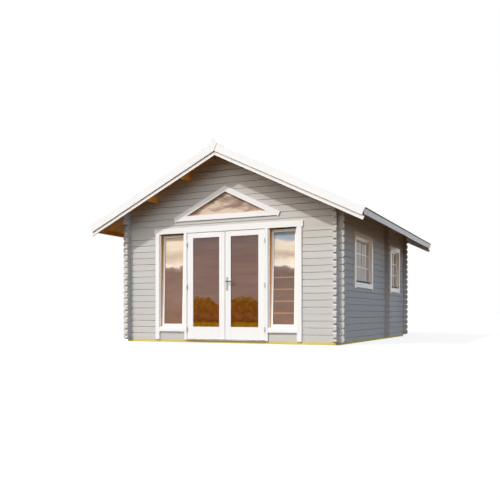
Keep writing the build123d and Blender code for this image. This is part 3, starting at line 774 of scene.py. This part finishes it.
# Bars and drip strips of the side windows
def window_bars(side, sign):
    """Bars on both faces of each pane, and a drip strip outside along the foot of each casement."""
    bars, drips = bmesh.new(), bmesh.new()
    for low, high in boxes_of(f"{side}_window_glass"):
        y0, y1 = low.y + glass_rebate, high.y - glass_rebate
        z0, z1 = low.z + glass_rebate, high.z - glass_rebate
        middle = (y0 + y1) / 2
        for face, way in ((low.x, -1), (high.x, 1)):
            x0, x1 = sorted((face, face + way * bar_depth))
            add_box(bars, (x0, middle - bar_width / 2, z0), (x1, middle + bar_width / 2, z1))
            for share in (1 / 3, 2 / 3):
                z = z0 + share * (z1 - z0)
                add_box(bars, (x0, y0, z - bar_width / 2), (x1, middle - bar_width / 2, z + bar_width / 2))
                add_box(bars, (x0, middle + bar_width / 2, z - bar_width / 2), (x1, y1, z + bar_width / 2))
    for low, high in boxes_of(f"{side}_window_casements"):
        face = high.x if sign > 0 else low.x
        x0, x1 = sorted((face, face + sign * drip_depth))
        add_box(drips, (x0, low.y, low.z), (x1, high.y, low.z + drip_height))
    make_piece(f"{side}_window_bars", softened(bars, soft_edge), cream_paint, "house")
    make_piece(f"{side}_window_drips", softened(drips, soft_edge), teal, "house")


window_bars("left", -1)
window_bars("right", 1)


# Shingles
def add_tab(bm, to_slope, y0, y1, top, bottom):
    """One shingle, thicker at its foot, from top to bottom down the slope."""
    corners = [(top, 0.0), (bottom, 0.0), (bottom, shingle_foot), (top, shingle_head)]
    verts = [bm.verts.new(to_slope @ Vector((s, y, z))) for y in (y0, y1) for s, z in corners]
    near, far = verts[:4], verts[4:]
    bm.faces.new(near)
    bm.faces.new(far[::-1])
    for i in range(4):
        j = (i + 1) % 4
        bm.faces.new((near[i], far[i], far[j], near[j]))


def shingles(side, sign):
    """Courses of tabs laid on the covering of one slope, counted from the eaves."""
    low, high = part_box(f"roof_cover_{side}")
    deck_low, deck_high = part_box(f"roof_deck_{side}")
    y0, y1 = deck_low.y + gable_margin, deck_high.y - gable_margin
    length = (max(abs(low.x), abs(high.x)) - eave_margin) / math.cos(roof_pitch)
    lift = Matrix.Translation((0, 0, soffit_ridge + cover_top / math.cos(roof_pitch)))
    to_slope = Matrix.Scale(sign, 4, axes["X"]) @ lift @ Matrix.Rotation(roof_pitch, 4, "Y")
    bm = bmesh.new()
    for course in range(int(length / shingle_course)):
        bottom = length - course * shingle_course
        top = max(bottom - shingle_course, ridge_margin)
        start = y0 - (shingle_width / 2 if course % 2 else 0.0)
        for n in range(int((y1 - y0) / shingle_width) + 2):
            a = max(start + n * shingle_width + shingle_slot / 2, y0)
            b = min(start + (n + 1) * shingle_width - shingle_slot / 2, y1)
            if b - a >= shingle_narrowest:
                add_tab(bm, to_slope, a, b, top, bottom)
    make_piece(f"roof_shingles_{side}", bm, roofing, "house")


shingles("right", 1)
shingles("left", -1)


# Screws and keyhole
def handle_details():
    """Two screws and a keyhole on each face of the plates."""
    screws = bmesh.new()
    keyholes = bmesh.new()
    for low, high in boxes_of("handle_plates"):
        x = (low.x + high.x) / 2
        for face in (low.y, high.y):
            for z in (low.z + screw_inset, high.z - screw_inset):
                add_disc(screws, Vector((x, face, z)), screw_radius, screw_thick)
            add_disc(keyholes, Vector((x, face, low.z + keyhole_level)), keyhole_radius, 2 * keyhole_proud)
            foot = (x - slot_half, face - keyhole_proud, low.z + slot_foot)
            head = (x + slot_half, face + keyhole_proud, low.z + slot_head)
            add_box(keyholes, foot, head)
    make_piece("handle_screws", screws, steel, "door_right", smooth=True)
    make_piece("handle_keyholes", keyholes, dark_steel, "door_right")


handle_details()


# Floor, light and camera
def cleared(holder):
    """The emptied node tree of a material or world."""
    holder.use_nodes = True
    holder.node_tree.nodes.clear()
    return holder.node_tree


def seen_rays(tree):
    """1 for rays that show something to the camera, straight, mirrored or through glass, 0 for others."""
    path = wire(tree, "ShaderNodeLightPath").outputs
    seen = maths(tree, "MAXIMUM", path["Is Camera Ray"], path["Is Glossy Ray"])
    return maths(tree, "MAXIMUM", seen, path["Is Transmission Ray"])


def two_faced(tree, unseen, seen):
    """One shader for what lights the object, and another for what is seen."""
    inputs = {0: seen_rays(tree), 1: unseen.outputs[0], 2: seen.outputs[0]}
    return wire(tree, "ShaderNodeMixShader", inputs).outputs[0]


def floor_material():
    """Pale floor that looks white, keeps a faint shadow and throws back little light."""
    material = bpy.data.materials.new("pale_floor")
    tree = cleared(material)
    glow = wire(tree, "ShaderNodeEmission", {"Color": (1, 1, 1, 1), "Strength": 0.86})
    shown = wire(tree, "ShaderNodeBsdfDiffuse", {"Color": (0.16, 0.16, 0.16, 1)})
    both = wire(tree, "ShaderNodeAddShader", {0: glow.outputs[0], 1: shown.outputs[0]})
    plain = wire(tree, "ShaderNodeBsdfDiffuse", {"Color": (0.070, 0.050, 0.030, 1)})
    wire(tree, "ShaderNodeOutputMaterial", {"Surface": two_faced(tree, plain, both)})
    return material


def make_floor():
    bm = bmesh.new()
    bmesh.ops.create_grid(bm, x_segments=1, y_segments=1, size=200.0)
    mesh = bpy.data.meshes.new("floor")
    bm.to_mesh(mesh)
    bm.free()
    mesh.materials.append(floor_material())
    floor = bpy.data.objects.new("floor", mesh)
    bpy.context.scene.collection.objects.link(floor)


def make_world():
    """Dim sky for the light, white where it is seen."""
    world = bpy.data.worlds.new("sky")
    tree = cleared(world)
    sky = wire(tree, "ShaderNodeBackground", {"Color": (0.068, 0.072, 0.080, 1), "Strength": 1.0})
    backdrop = wire(tree, "ShaderNodeBackground", {"Color": (1, 1, 1, 1), "Strength": 1.0})
    wire(tree, "ShaderNodeOutputWorld", {"Surface": two_faced(tree, sky, backdrop)})
    bpy.context.scene.world = world


def make_sun(name, strength, colour, width, direction):
    """Light that comes along a direction from a disc or part of the sky of a given width in degrees."""
    sun = bpy.data.lights.new(name, "SUN")
    sun.energy = strength
    sun.color = colour
    sun.angle = math.radians(width)
    lamp = bpy.data.objects.new(name, sun)
    lamp.rotation_mode = "QUATERNION"
    lamp.rotation_quaternion = Vector(direction).to_track_quat("-Z", "Y")
    bpy.context.scene.collection.objects.link(lamp)


def make_camera():
    data = bpy.data.cameras.new("camera")
    data.lens = 47.25
    data.sensor_width = 36.0
    data.shift_y = 0.128
    data.clip_end = 500.0
    camera = bpy.data.objects.new("camera", data)
    camera.location = (5.186, -12.668, 0.5057)
    camera.rotation_euler = (math.radians(90), 0.0, math.radians(24.87))
    bpy.context.scene.collection.objects.link(camera)
    bpy.context.scene.camera = camera


make_floor()
make_world()
make_sun("sun", 2.20, (1.0, 0.97, 0.93), 1.0, (0.398, 0.6215, -0.6747))
make_sun("bright_sky", 2.75, (1.0, 0.935, 0.85), 90.0, (0.35, 0.80, -0.48))
make_sun("low_sky", 0.58, (1.0, 0.90, 0.80), 50.0, (-0.95, 0.20, -0.12))
make_sun("blue_sky", 0.75, (0.30, 0.60, 1.0), 60.0, (-0.70, 0.25, -0.65))
make_sun("rear_sky", 1.0, (0.92, 0.96, 1.0), 40.0, (0.35, -0.85, -0.40))
make_camera()
bpy.context.scene.view_settings.view_transform = "Standard"
